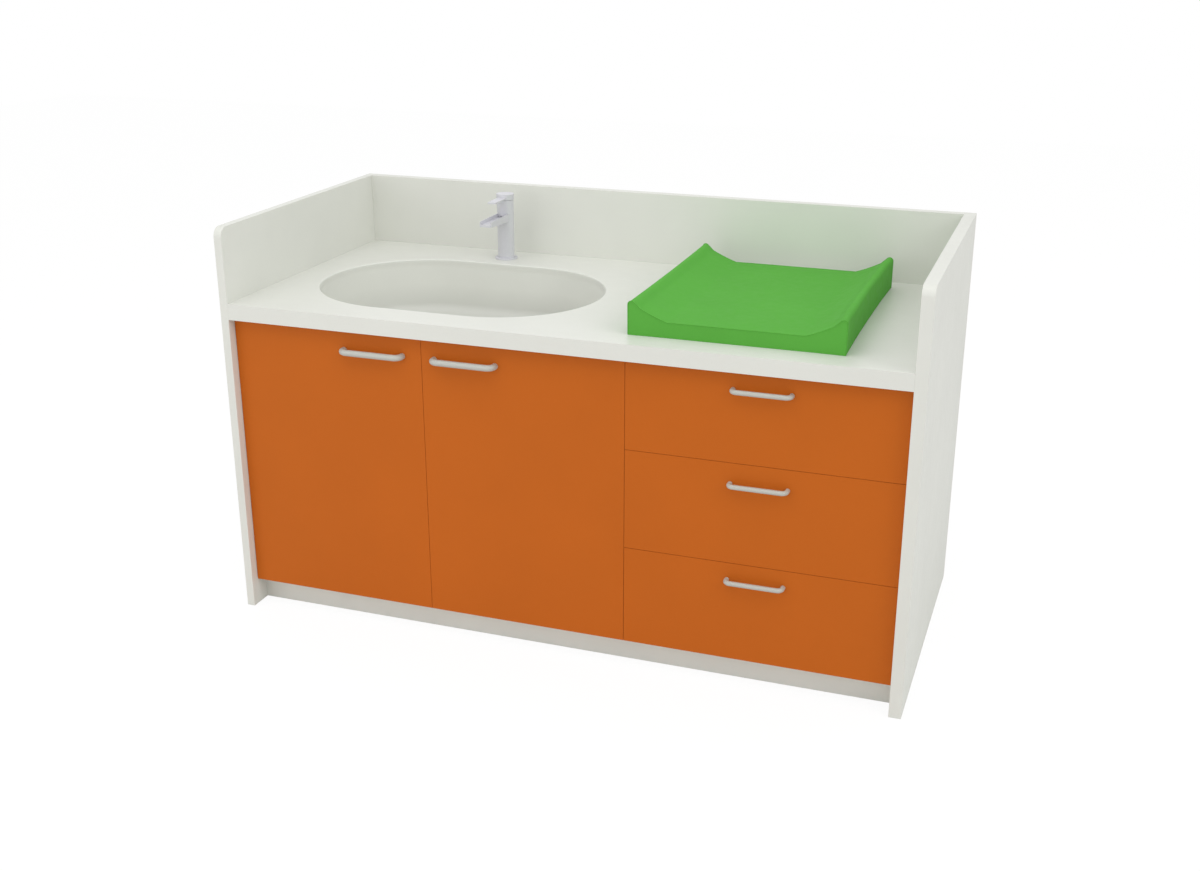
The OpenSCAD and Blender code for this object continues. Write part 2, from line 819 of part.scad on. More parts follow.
// The right half of the section, from under the flat middle's edge round to its top
function mat_side() = let (
    half = mat_w / 2,
    flat = mat_flat_w / 2,
    crest = half - mat_crest_in
) concat(
    [[flat, 0]],
    [for (i = [0 : mat_foot - 1]) let (a = -90 + 90 * i / (mat_foot - 1))
        [half - mat_foot_r + mat_foot_r * cos(a), mat_foot_r + mat_foot_r * sin(a)]],
    [for (i = [0 : mat_shoulder - 1]) let (a = 90 * i / (mat_shoulder - 1))
        [crest + mat_crest_in * cos(a), mat_crest_h - mat_crest_in + mat_crest_in * sin(a)]],
    [for (i = [1 : mat_ramp]) let (x = crest - (crest - flat) * i / mat_ramp) [x, mat_top(x)]]
);

// Round from under the right side over the top to under the left side
function mat_section() = let (side = mat_side(), n = len(side)) concat(
    side,
    [for (i = [1 : mat_middle - 1]) [mat_flat_w / 2 - mat_flat_w * i / mat_middle, mat_mid_h]],
    [for (i = [n - 1 : -1 : 0]) [-side[i][0], side[i][1]]]
);

// Triangles that close one end: a fan in each raised side, and one across the middle
function mat_cap(n, first, centre) = let (side = 1 + mat_foot + mat_shoulder + mat_ramp) concat(
    [for (i = [0 : side - 1]) [centre, first + (i + 1) % side, first + i]],
    [[first + n - 1, first + side - 1, first]],
    [for (i = [side - 1 : n - side - 1]) [first + n - 1, first + i + 1, first + i]],
    [for (i = [0 : side - 1])
        [centre + 1, first + n - side + (i + 1) % side, first + n - side + i]]
);

// Places along the mat, closer at its ends, with how far the section shrinks there
function mat_stations() = let (round = 6, inner = 10) concat(
    [for (i = [0 : 3]) let (a = 30 * i) [round * (1 - cos(a)), round * 0.5 * (1 - sin(a))]],
    [for (i = [1 : inner - 1]) [round + (mat_l - 2 * round) * i / inner, 0]],
    [for (i = [3 : -1 : 0]) let (a = 30 * i)
        [mat_l - round * (1 - cos(a)), round * 0.5 * (1 - sin(a))]]
);

module changing_mat() {
    section = mat_section();
    stations = mat_stations();
    n = len(section);
    m = len(stations);
    points = concat(
        [for (s = stations) let (
            drawn = mat_draw * sin(180 * s[0] / mat_l),
            wide = 1 - (s[1] + drawn) / (mat_w / 2),
            high = 1 - s[1] / mat_mid_h
        ) for (p = section) [p[0] * wide, s[0], p[1] * high]],
        [for (y = [0, mat_l], side = [1, -1])
            [side * (mat_w / 2 - mat_crest_in), y, mat_mid_h / 2]]
    );
    front_cap = mat_cap(n, 0, m * n);
    back_cap = [for (f = mat_cap(n, (m - 1) * n, m * n + 2)) [f[0], f[2], f[1]]];
    faces = concat(
        [for (j = [0 : m - 2], i = [0 : n - 1]) let (k = (i + 1) % n)
            [j * n + i, j * n + k, (j + 1) * n + k]],
        [for (j = [0 : m - 2], i = [0 : n - 1]) let (k = (i + 1) % n)
            [j * n + i, (j + 1) * n + k, (j + 1) * n + i]],
        front_cap,
        back_cap
    );
    color(mat_colour) translate([mat_mid_x, worktop_mid_y + mat_back - mat_l / 2, worktop_height])
        polyhedron(points = points, faces = faces);
}

// Doors

hinge_z = [
    plinth_height + hinge_inset,
    plinth_height + fronts_h / 2,
    fronts_top - hinge_inset
];
left_door_x = [left_in + front_gap, doors_mid_x - front_gap / 2];
right_door_x = [doors_mid_x + front_gap / 2, bay_x - front_gap / 2];
door_handle_z = fronts_top - door_handle_drop;
left_handle_x = doors_mid_x - left_handle_in;
right_handle_x = doors_mid_x + right_handle_in;
cup_in = cup_edge + cup_r;

// A bow handle, its legs' feet on the plane y = 0
module bow_handle(cc, r, stand) {
    bend = 2 * r;
    leg = stand - bend;
    difference() {
        union() {
            for (side = [-1, 1]) {
                translate([side * cc / 2, 0, 0]) rotate([90, 0, 0]) cylinder(r = r, h = leg);
                translate([side * (cc / 2 - bend), -leg, 0])
                    rotate([0, 0, side > 0 ? -90 : 180])
                        rotate_extrude(angle = 90) translate([bend, 0]) circle(r = r);
            }
            translate([-cc / 2 + bend, -stand, 0]) rotate([0, 90, 0])
                cylinder(r = r, h = cc - 2 * bend);
        }
        for (side = [-1, 1])
            translate([side * cc / 2, over, 0]) rotate([90, 0, 0])
                cylinder(r = screw_r + pin_air, h = leg + over);
    }
}

// The two screws of a handle, their heads sunk flush with the front's back
module handle_screws(cc, r, stand) {
    in_leg = stand - 2 * r - 1;
    for (side = [-1, 1]) translate([side * cc / 2, -in_leg, 0]) {
        along_y() cylinder(r = screw_r, h = in_leg + front_t);
        translate([0, in_leg + front_t - screw_head_h, 0])
            along_y() cylinder(r = screw_head_r, h = screw_head_h);
    }
}

module screw_holes(cc) {
    for (side = [-1, 1]) translate([side * cc / 2, 0, 0]) {
        translate([0, -over, 0])
            along_y() cylinder(r = screw_r + screw_air, h = front_t + 2 * over);
        translate([0, front_t - screw_head_h, 0])
            along_y() cylinder(r = screw_head_r + screw_air, h = screw_head_h + over);
    }
}

module door(x, handle_x, cup_x) {
    difference() {
        board(x[0], x[1], fronts_y, fronts_back, plinth_height, fronts_top);
        translate([handle_x, fronts_y, door_handle_z]) screw_holes(door_handle_cc);
        for (z = hinge_z) translate([cup_x, fronts_back - cup_depth, z])
            along_y() cylinder(r = cup_r, h = cup_depth + over);
    }
}

// Thickness of a cup's wall and of its screwed wings
cup_wall = 1.2;
cup_plate = 1;

module hinge_cups(cup_x) {
    wall = cup_wall;
    wing = 26;
    wing_in = 6;
    for (z = hinge_z) translate([cup_x, fronts_back, z]) difference() {
        union() {
            translate([0, -cup_depth, 0]) along_y() cylinder(r = cup_r, h = cup_depth);
            translate([-cup_r + wing_in, 0, -wing])
                cube([2 * (cup_r - wing_in), cup_plate, 2 * wing]);
            along_y() cylinder(r = cup_r, h = cup_plate);
        }
        translate([0, -cup_depth + wall, 0]) along_y()
            cylinder(r = cup_r - wall, h = cup_depth + over);
    }
}

module left_door() {
    color(front_colour) door(left_door_x, left_handle_x, left_door_x[0] + cup_in);
}

module left_door_handle() {
    color(handle_colour) translate([left_handle_x, fronts_y, door_handle_z])
        bow_handle(door_handle_cc, door_handle_r, door_handle_stand);
}

module left_door_screws() {
    color(metal_colour) translate([left_handle_x, fronts_y, door_handle_z])
        handle_screws(door_handle_cc, door_handle_r, door_handle_stand);
}

module left_door_hinge_cups() {
    color(metal_colour) hinge_cups(left_door_x[0] + cup_in);
}

module right_door() {
    color(front_colour) door(right_door_x, right_handle_x, right_door_x[1] - cup_in);
}

module right_door_handle() {
    color(handle_colour) translate([right_handle_x, fronts_y, door_handle_z])
        bow_handle(door_handle_cc, door_handle_r, door_handle_stand);
}

module right_door_screws() {
    color(metal_colour) translate([right_handle_x, fronts_y, door_handle_z])
        handle_screws(door_handle_cc, door_handle_r, door_handle_stand);
}

module right_door_hinge_cups() {
    color(metal_colour) hinge_cups(right_door_x[1] - cup_in);
}

// The arms and their plates stand on the left side panel and on the partition, and each arm's
// nose reaches over its cup
module hinge_arms() {
    color(metal_colour) for (z = hinge_z) {
        hinge_arm(left_in, 1, left_door_x[0] + cup_in - left_in, z);
        hinge_arm(bay_left - board_t, -1, bay_left - board_t - right_door_x[1] + cup_in, z);
    }
}

module hinge_arm(x, way, cup_middle, z) {
    y = fronts_back + cup_plate + seat_air;
    nose_t = 6;
    translate([x, 0, z]) mirror([way > 0 ? 0 : 1, 0, 0]) {
        translate([0, y + arm_l - plate_l, -plate_h / 2]) cube([plate_t, plate_l, plate_h]);
        translate([0, y + arm_l - plate_l, -arm_h / 2]) cube([arm_w, plate_l, arm_h]);
        translate([plate_t, y, -arm_h / 2]) cube([arm_w - plate_t, arm_l, arm_h]);
        translate([plate_t, y, -arm_h / 2]) cube([cup_middle - plate_t, nose_t, arm_h]);
    }
}

// Drawers

function box_z(i) = drawer_z[i] + box_lift;
function box_h(i) = drawer_h[i] - box_lift - box_drop;
function runner_z(i) = box_z(i) + box_h(i) / 2;

module drawer_front(i) {
    difference() {
        board(drawer_left, drawer_right, fronts_y, fronts_back,
            drawer_z[i], drawer_z[i] + drawer_h[i]);
        at_drawer_handle(i) screw_holes(drawer_handle_cc);
    }
}

module at_drawer_handle(i) {
    translate([drawer_handle_x, fronts_y, drawer_z[i] + drawer_h[i] - drawer_handle_drops[i]])
        children();
}

module drawer_floor(i) {
    z = box_z(i) + floor_lift;
    board(box_left + box_t - groove, box_right - box_t + groove,
        fronts_back + box_t - groove, fronts_back + box_depth - box_t + groove,
        z, z + box_floor_t);
}

module drawer_box(i) {
    z0 = box_z(i);
    z1 = z0 + box_h(i);
    y1 = fronts_back + box_depth;
    cut = screw_air / 2;
    difference() {
        union() {
            board(box_left, box_left + box_t, fronts_back, y1, z0, z1);
            board(box_right - box_t, box_right, fronts_back, y1, z0, z1);
            board(box_left + box_t, box_right - box_t, fronts_back, fronts_back + box_t, z0, z1);
            board(box_left + box_t, box_right - box_t, y1 - box_t, y1, z0, z1);
        }
        board(box_left + box_t - groove - cut, box_right - box_t + groove + cut,
            fronts_back + box_t - groove - cut, y1 - box_t + groove + cut,
            z0 + floor_lift - cut, z0 + floor_lift + box_floor_t + cut);
    }
}

// A runner's channel, as long as the box, with its web at x = 0 and its flanges towards +X
module channel(web_x, flange_x, half) {
    translate([web_x, 0, -half]) cube([runner_wall, box_depth - 10, 2 * half]);
    for (z = [-half, half - runner_wall])
        translate([min(web_x, flange_x), 0, z])
            cube([abs(flange_x - web_x), box_depth - 10, runner_wall]);
}

outer_half = runner_h / 2;
middle_half = outer_half - runner_wall - runner_air;
inner_half = middle_half - runner_wall - runner_air;

// Places a runner member on both sides of a drawer, x counted from the bay's side
module both_runners(i) {
    y = fronts_back + 5;
    translate([bay_left, y, runner_z(i)]) children();
    translate([right_in, y, runner_z(i)]) mirror([1, 0, 0]) children();
}

module runner_outers() {
    color(metal_colour) for (i = [0 : 2])
        both_runners(i) channel(0, runner_w - 3, outer_half);
}

module runner_middles(i) {
    both_runners(i) channel(runner_wall + runner_air, runner_w - 2, middle_half);
}

module runner_inners(i) {
    both_runners(i) {
        translate([runner_w - runner_wall, 0, -inner_half])
            cube([runner_wall, box_depth - 10, 2 * inner_half]);
        for (z = [-inner_half, inner_half - runner_wall])
            translate([2 * (runner_wall + runner_air), 0, z])
                cube([runner_w - 2 * (runner_wall + runner_air), box_depth - 10, runner_wall]);
    }
}

module drawer_handle(i) {
    at_drawer_handle(i) bow_handle(drawer_handle_cc, drawer_handle_r, drawer_handle_stand);
}

module drawer_screws(i) {
    at_drawer_handle(i)
        handle_screws(drawer_handle_cc, drawer_handle_r, drawer_handle_stand);
}

module top_drawer_front() { color(front_colour) drawer_front(0); }
module top_drawer_box() { color(inside_colour) drawer_box(0); }
module top_drawer_floor() { color(inside_colour) drawer_floor(0); }
module top_drawer_handle() { color(handle_colour) drawer_handle(0); }
module top_drawer_screws() { color(metal_colour) drawer_screws(0); }
module top_drawer_runner_inners() { color(metal_colour) runner_inners(0); }
module top_drawer_runner_middles() { color(metal_colour) runner_middles(0); }

module middle_drawer_front() { color(front_colour) drawer_front(1); }
module middle_drawer_box() { color(inside_colour) drawer_box(1); }
module middle_drawer_floor() { color(inside_colour) drawer_floor(1); }
module middle_drawer_handle() { color(handle_colour) drawer_handle(1); }
module middle_drawer_screws() { color(metal_colour) drawer_screws(1); }
module middle_drawer_runner_inners() { color(metal_colour) runner_inners(1); }
module middle_drawer_runner_middles() { color(metal_colour) runner_middles(1); }

module low_drawer_front() { color(front_colour) drawer_front(2); }
module low_drawer_box() { color(inside_colour) drawer_box(2); }
module low_drawer_floor() { color(inside_colour) drawer_floor(2); }
module low_drawer_handle() { color(handle_colour) drawer_handle(2); }
module low_drawer_screws() { color(metal_colour) drawer_screws(2); }
module low_drawer_runner_inners() { color(metal_colour) runner_inners(2); }
module low_drawer_runner_middles() { color(metal_colour) runner_middles(2); }

left_side_panel();
right_side_panel();
bottom_panel();
partition();
back_panel();
splashback();
wall_rail();
plinth_boards();
front_rails();
worktop_battens();
worktop();
worktop_core();
basin();
waste_body();
waste_plug();
waste_nuts();
waste_pipes();
trap_body();
trap_cup();
tap_base_ring();
tap_body();
tap_spout();
tap_cartridge();
tap_carrier();
tap_stem();
tap_lever();
tap_inlets();
tap_fixings();
changing_mat();
left_door();
left_door_handle();
left_door_screws();
left_door_hinge_cups();
right_door();
right_door_handle();
right_door_screws();
right_door_hinge_cups();
hinge_arms();
runner_outers();
top_drawer_front();
top_drawer_box();
top_drawer_floor();
top_drawer_handle();
top_drawer_screws();
top_drawer_runner_inners();
top_drawer_runner_middles();
middle_drawer_front();
middle_drawer_box();
middle_drawer_floor();
middle_drawer_handle();
middle_drawer_screws();
middle_drawer_runner_inners();
middle_drawer_runner_middles();
low_drawer_front();
low_drawer_box();
low_drawer_floor();
low_drawer_handle();
low_drawer_screws();
low_drawer_runner_inners();
low_drawer_runner_middles();
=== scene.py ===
import json
import math

import bmesh
import bpy
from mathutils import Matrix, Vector


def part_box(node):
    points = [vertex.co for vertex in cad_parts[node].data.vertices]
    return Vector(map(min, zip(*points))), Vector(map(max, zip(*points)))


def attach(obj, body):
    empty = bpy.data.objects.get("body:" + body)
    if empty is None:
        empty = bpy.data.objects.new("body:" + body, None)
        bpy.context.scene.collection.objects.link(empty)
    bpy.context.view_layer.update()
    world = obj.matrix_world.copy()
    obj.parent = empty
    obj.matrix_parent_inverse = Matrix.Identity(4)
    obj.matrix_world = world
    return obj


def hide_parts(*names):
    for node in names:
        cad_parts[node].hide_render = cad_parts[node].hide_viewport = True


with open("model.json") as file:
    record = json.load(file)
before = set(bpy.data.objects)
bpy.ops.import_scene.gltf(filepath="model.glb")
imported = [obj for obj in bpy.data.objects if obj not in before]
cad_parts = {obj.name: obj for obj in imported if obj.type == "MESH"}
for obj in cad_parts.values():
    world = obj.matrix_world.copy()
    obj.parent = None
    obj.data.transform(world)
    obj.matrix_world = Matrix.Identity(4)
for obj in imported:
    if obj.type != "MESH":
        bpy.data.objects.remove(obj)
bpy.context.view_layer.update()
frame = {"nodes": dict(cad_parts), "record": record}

NODES = frame["nodes"]


def add_object(name, data):
    obj = bpy.data.objects.new(name, data)
    bpy.context.scene.collection.objects.link(obj)
    return obj


def smooth_faces(mesh):
    for p in mesh.polygons:
        p.use_smooth = True


def new_node(tree, kind, values=(), **settings):
    """A shader node with its settings, and the values of its inputs by name or number."""
    n = tree.nodes.new(kind)
    for key, value in settings.items():
        setattr(n, key, value)
    for key, value in dict(values).items():
        n.inputs[key].default_value = value
    return n


# Camera

CAMERA_PLACE = (1.22375, -3.46769, 1.82221)
CAMERA_TURN = (69.778, 0.0, 19.563)        # degrees
CAMERA_LENS, CAMERA_SENSOR = 43.141, 36.0  # millimetres


def add_camera():
    data = bpy.data.cameras.new("camera")
    data.lens = CAMERA_LENS
    data.sensor_width = CAMERA_SENSOR
    cam = add_object("camera", data)
    cam.location = CAMERA_PLACE
    cam.rotation_euler = [math.radians(a) for a in CAMERA_TURN]
    bpy.context.scene.camera = cam


add_camera()


# Materials: every pattern is in real sizes, from the object's own coordinates in metres

MOST_OF_NOISE = (0.3, 0.7)                 # nearly all values of a noise lie in between
MIX_SHARE, MIX_FIRST, MIX_SECOND, MIX_RESULT = 0, 6, 7, 2   # colour sockets of a Mix node


def rgb(r, g, b):
    """A colour written as it looks, 0 to 255, as the shader's linear value."""
    def linear(c):
        c /= 255.0
        return c / 12.92 if c <= 0.04045 else ((c + 0.055) / 1.055) ** 2.4
    return (linear(r), linear(g), linear(b), 1.0)


def shade(colour, k):
    """The colour, k times as bright."""
    return tuple(min(1.0, c * k) for c in colour[:3]) + (1.0,)


class Surface:
    """A Principled material with a few ready patterns. All sizes are in metres."""

    def __init__(self, name, roughness, metallic=0.0, specular=0.5, coat=0.0,
                 coat_roughness=0.03):
        self.mat = bpy.data.materials.new(name)
        self.mat.use_nodes = True
        self.tree = self.mat.node_tree
        self.bsdf = self.tree.nodes["Principled BSDF"]
        for socket, value in (("Roughness", roughness), ("Metallic", metallic),
                              ("Specular IOR Level", specular), ("Coat Weight", coat),
                              ("Coat Roughness", coat_roughness)):
            self.bsdf.inputs[socket].default_value = value
        self.place = self.node("ShaderNodeTexCoord").outputs["Object"]
        self.normal = None

    def node(self, kind, values=(), **settings):
        return new_node(self.tree, kind, values, **settings)

    def link(self, a, b):
        self.tree.links.new(a, b)

    def stretched(self, stretch):
        n = self.node("ShaderNodeMapping", {"Scale": stretch})
        self.link(self.place, n.inputs["Vector"])
        return n.outputs["Vector"]

    def noise(self, size, detail, rough=0.5, stretch=(1, 1, 1), warp=0.0):
        """Noise whose features are about `size` across, and longer where stretch is small."""
        n = self.node("ShaderNodeTexNoise", {"Scale": 1.0 / size, "Detail": detail,
                                             "Roughness": rough, "Distortion": warp})
        self.link(self.stretched(stretch), n.inputs["Vector"])
        return n.outputs["Fac"]

    def cells(self, size, feature, out="Distance", stretch=(1, 1, 1)):
        n = self.node("ShaderNodeTexVoronoi", {"Scale": 1.0 / size}, feature=feature)
        self.link(self.stretched(stretch), n.inputs["Vector"])
        return n.outputs[out]

    def cell_values(self, size, stretch=(1, 1, 1)):
        """One random value for each cell."""
        colours = self.cells(size, "F1", "Color", stretch)
        n = self.node("ShaderNodeSeparateColor")
        self.link(colours, n.inputs["Color"])
        return n.outputs[0]

    def height(self):
        n = self.node("ShaderNodeSeparateXYZ")
        self.link(self.place, n.inputs["Vector"])
        return n.outputs["Z"]

    def span(self, fac, between, to):
        """Carries the first range over to the second, and holds the ends."""
        n = self.node("ShaderNodeMapRange", {"From Min": between[0], "From Max": between[1],
                                             "To Min": to[0], "To Max": to[1]})
        self.link(fac, n.inputs["Value"])
        return n.outputs["Result"]

    def ramp(self, fac, *stops):
        n = self.node("ShaderNodeValToRGB")
        e = n.color_ramp.elements
        while len(e) < len(stops):
            e.new(0.5)
        for el, (pos, colour) in zip(e, stops):
            el.position = pos
            el.color = colour
        self.link(fac, n.inputs["Fac"])
        return n.outputs["Color"]

    def tones(self, fac, colour, dark, light, margin=0.30):
        """From a darker to a lighter shade of the colour, with a margin at both ends of fac."""
        return self.ramp(fac, (margin, shade(colour, dark)), (1.0 - margin, shade(colour, light)))

    def mix(self, share, first, second):
        """From the pattern `first` to the plain colour `second`."""
        n = self.node("ShaderNodeMix", data_type="RGBA")
        n.inputs[MIX_SECOND].default_value = second
        self.link(share, n.inputs[MIX_SHARE])
        self.link(first, n.inputs[MIX_FIRST])
        return n.outputs[MIX_RESULT]

    def colour(self, socket):
        self.link(socket, self.bsdf.inputs["Base Color"])

    def rough(self, fac, low, high):
        self.link(self.span(fac, MOST_OF_NOISE, (low, high)), self.bsdf.inputs["Roughness"])

    def bump(self, height, depth, strength):
        """Adds relief; several calls lie on top of each other."""
        n = self.node("ShaderNodeBump", {"Distance": depth, "Strength": strength})
        self.link(height, n.inputs["Height"])
        if self.normal is not None:
            self.link(self.normal, n.inputs["Normal"])
        self.normal = n.outputs["Normal"]
        self.link(self.normal, self.bsdf.inputs["Normal"])


def lacquered_board(name, colour, roughness, specular):
    """Sprayed board: faint orange peel, slight clouding and fine, slightly darker specks."""
    s = Surface(name, roughness, specular=specular)
    tone = s.tones(s.noise(0.22, 2.0, 0.55), colour, 0.975, 1.015)
    specks = s.span(s.noise(0.006, 2.0), (0.35, 0.75), (0.0, 0.10))
    s.colour(s.mix(specks, tone, shade(colour, 0.93)))
    s.rough(s.noise(0.03, 3.0), roughness - 0.05, roughness + 0.06)
    s.bump(s.noise(0.0024, 1.0, 0.4), depth=0.00004, strength=0.5)
    s.bump(s.noise(0.035, 1.0, 0.4), depth=0.00012, strength=0.4)
    return s.mat


def mineral_sheet(name, colour):
    """Moulded mineral sheet: tiny grey grains in slight clouds, under a silky surface."""
    s = Surface(name, 0.34, specular=0.4)
    grains = s.span(s.cell_values(0.0011), (0.90, 1.0), (0.0, 0.16))
    tone = s.tones(s.noise(0.30, 2.0), colour, 0.985, 1.01)
    s.colour(s.mix(grains, tone, shade(colour, 0.72)))
    s.rough(s.noise(0.05, 4.0, 0.6), 0.28, 0.40)
    s.bump(s.noise(0.0016, 2.0), depth=0.00002, strength=0.5)
    return s.mat


def glazed_casting(name, colour):
    """Cast bowl with a thin gel coat, slow waves in its gloss, and painted shade that makes the
    colour darker low down on its floor.
    """
    s = Surface(name, 0.36, specular=0.25, coat=0.08, coat_roughness=0.15)
    tone = s.tones(s.noise(0.12, 2.0), colour, 0.985, 1.01)
    # painted shade: the colour grows darker towards the bowl's floor, below the given heights
    painted_floor_shade = s.span(s.height(), (0.712, 0.790), (1.0, 0.0))
    s.colour(s.mix(painted_floor_shade, tone, shade(colour, 0.84)))
    s.rough(s.noise(0.02, 3.0), 0.30, 0.40)
    s.bump(s.noise(0.09, 1.0, 0.3), depth=0.0008, strength=0.20)
    return s.mat


def raw_board(name):
    """Particle board: flat pressed chips of several tones with darker glue between them."""
    chip, flat = 0.0045, (1, 0.45, 1)
    s = Surface(name, 0.85, specular=0.2)
    wood = s.ramp(s.cell_values(chip, flat), (0.0, rgb(158, 128, 88)),
                  (0.35, rgb(196, 166, 122)), (0.7, rgb(212, 186, 146)), (1.0, rgb(226, 204, 168)))
    edge = s.cells(chip, "DISTANCE_TO_EDGE", stretch=flat)
    glue = s.span(edge, (0.0, 0.12), (0.55, 0.0))
    fibre = s.noise(0.0012, 3.0, 0.6, (1, 0.25, 1))
    body = s.mix(s.span(fibre, (0.4, 0.7), (0.0, 0.22)), wood, rgb(150, 120, 82))
    s.colour(s.mix(glue, body, rgb(120, 92, 60)))
    s.rough(fibre, 0.78, 0.93)
    s.bump(edge, depth=0.0003, strength=0.5)
    s.bump(fibre, depth=0.0001, strength=0.5)
    return s.mat


def melamine(name, colour):
    """Melamine paper on a drawer's boards: a fine linen emboss."""
    s = Surface(name, 0.45, specular=0.35)
    warp = s.noise(0.0009, 1.0, 0.4, (1, 0.08, 1))
    weft = s.noise(0.0009, 1.0, 0.4, (0.08, 1, 0.08))
    tone = s.tones(s.noise(0.25, 2.0), colour, 0.97, 1.01)
    s.colour(s.mix(s.span(warp, (0.4, 0.8), (0.0, 0.16)), tone, shade(colour, 0.82)))
    s.rough(weft, 0.40, 0.52)
    for thread in (warp, weft):
        s.bump(thread, depth=0.00006, strength=0.5)
    return s.mat


def drawn_metal(name, colour, roughness, along, grain, metallic=1.0):
    """Metal with fine lines along one axis and faint smears."""
    s = Surface(name, roughness, metallic=metallic)
    lines = s.noise(grain, 2.0, 0.6, tuple(0.02 if axis == along else 1.0 for axis in "XYZ"))
    smear = s.noise(0.018, 3.0, 0.55)
    tone = s.tones(lines, colour, 0.90, 1.05, margin=0.25)
    s.colour(s.mix(s.span(smear, (0.35, 0.75), (0.0, 0.30)), tone, shade(colour, 0.93)))
    s.rough(smear, roughness - 0.06, roughness + 0.07)
    s.bump(lines, depth=0.00002, strength=0.35)
    return s.mat


def zinc(name, colour):
    """Bright zinc plate on stamped steel: small crystals and a bluish cast in places."""
    s = Surface(name, 0.34, metallic=1.0)
    tone = s.tones(s.cell_values(0.0035), colour, 0.86, 1.08, margin=0.0)
    cast = s.noise(0.02, 3.0)
    s.colour(s.mix(s.span(cast, (0.45, 0.75), (0.0, 0.35)), tone, rgb(176, 184, 198)))
    s.rough(cast, 0.26, 0.44)
    s.bump(s.noise(0.0008, 2.0), depth=0.00002, strength=0.4)
    return s.mat


def polished(name, colour):
    """Polished chrome with hairline wiping marks."""
    s = Surface(name, 0.08, metallic=1.0)
    mark = s.noise(0.0007, 2.0, 0.6, (1, 0.12, 1))
    s.colour(s.tones(mark, colour, 0.95, 1.03, margin=0.2))
    s.rough(s.noise(0.012, 4.0, 0.6), 0.05, 0.15)
    s.bump(mark, depth=0.000008, strength=0.4)
    return s.mat


def moulded(name, colour, roughness):
    """Injection-moulded plastic: a spark-eroded grain and slow flow marks."""
    s = Surface(name, roughness, specular=0.4)
    flow = s.noise(0.05, 2.0, warp=1.0)
    s.colour(s.tones(flow, colour, 0.955, 1.01, margin=0.25))
    grain = s.noise(0.0007, 2.0, 0.6)
    s.rough(grain, roughness - 0.06, roughness + 0.08)
    s.bump(grain, depth=0.00004, strength=0.5)
    return s.mat


def coated_cloth(name, colour):
    """Foamed vinyl on a knitted back: pebble grain with painted shade in its valleys, fine
    creases, slight clouding.
    """
    s = Surface(name, 0.60, specular=0.03)
    pebble = s.cells(0.0016, "SMOOTH_F1")
    crease = s.cells(0.0075, "DISTANCE_TO_EDGE", stretch=(1, 0.7, 1))
    tone = s.tones(s.noise(0.16, 3.0, 0.55), colour, 0.955, 1.02, margin=0.28)
    # painted shade: the colour is darker in the low valleys of the pebble grain
    painted_valley_shade = s.span(pebble, (0.35, 0.75), (0.0, 0.20))
    s.colour(s.mix(painted_valley_shade, tone, shade(colour, 0.78)))
    s.rough(s.noise(0.02, 3.0), 0.54, 0.66)
    s.bump(s.span(crease, (0.0, 0.06), (0.0, 1.0)), depth=0.00010, strength=0.25)
    s.bump(s.span(pebble, (0.0, 0.9), (1.0, 0.0)), depth=0.00016, strength=0.5)
    s.bump(s.noise(0.0006, 2.0), depth=0.00003, strength=0.3)
    return s.mat


WHITE = rgb(222, 223, 216)
LOOKS = {slot: recipe(slot, *values) for slot, recipe, *values in (
    ("panel_white", lacquered_board, WHITE, 0.42, 0.25),
    ("worktop_white", mineral_sheet, WHITE),
    ("bowl_white", glazed_casting, WHITE),
    ("core_board", raw_board),
    ("front_orange", lacquered_board, rgb(194, 99, 26), 0.45, 0.12),
    ("drawer_board", melamine, rgb(214, 210, 200)),
    ("handle_metal", drawn_metal, rgb(188, 189, 182), 0.45, "X", 0.0004, 0.06),
    ("tap_metal", drawn_metal, rgb(214, 214, 219), 0.42, "Z", 0.0003, 0.20),
    ("fitting_steel", zinc, rgb(184, 186, 190)),
    ("screw_steel", drawn_metal, rgb(186, 184, 178), 0.26, "Y", 0.0002),
    ("waste_metal", polished, rgb(204, 205, 208)),
    ("pipe_white", moulded, rgb(226, 226, 220), 0.45),
    ("cartridge_plastic", moulded, rgb(214, 213, 208), 0.5),
    ("mat_green", coated_cloth, rgb(94, 172, 70)),
)}
for part in frame["record"]["subparts"]:
    NODES[part["node"]].material_slots[0].material = LOOKS[part["material_slot"]]


# CAD nodes: edges get the small radius that a tool or a lipping leaves on them

SAME_POINT = 0.00001                       # points of a solid closer than this are one
SAME_PLANE, SHARP = 0.4, 35.0              # degrees between faces, at most and at least
EDGE_STEPS = 2
LARGE_FACES = 100                          # percent: large faces alone decide the normals


def ease_edges(node, radius):
    """Rounds the sharp edges. Flat panels are first cleared of the inner edges between their
    triangles."""
    obj = NODES[node]
    custom = obj.data.attributes.get("custom_normal")
    if custom is not None:
        obj.data.attributes.remove(custom)
    smooth_faces(obj.data)
    weld = obj.modifiers.new("weld", "WELD")
    weld.merge_threshold = SAME_POINT
    if node not in WHOLE:
        flat = obj.modifiers.new("flat", "DECIMATE")
        flat.decimate_type = "DISSOLVE"
        flat.angle_limit = math.radians(SAME_PLANE)
    bevel = obj.modifiers.new("edge", "BEVEL")
    bevel.width = radius
    bevel.segments = EDGE_STEPS
    bevel.limit_method = "ANGLE"
    bevel.angle_limit = math.radians(SHARP)
    bevel.miter_outer = "MITER_ARC"
    normals = obj.modifiers.new("normals", "WEIGHTED_NORMAL")
    normals.weight = LARGE_FACES


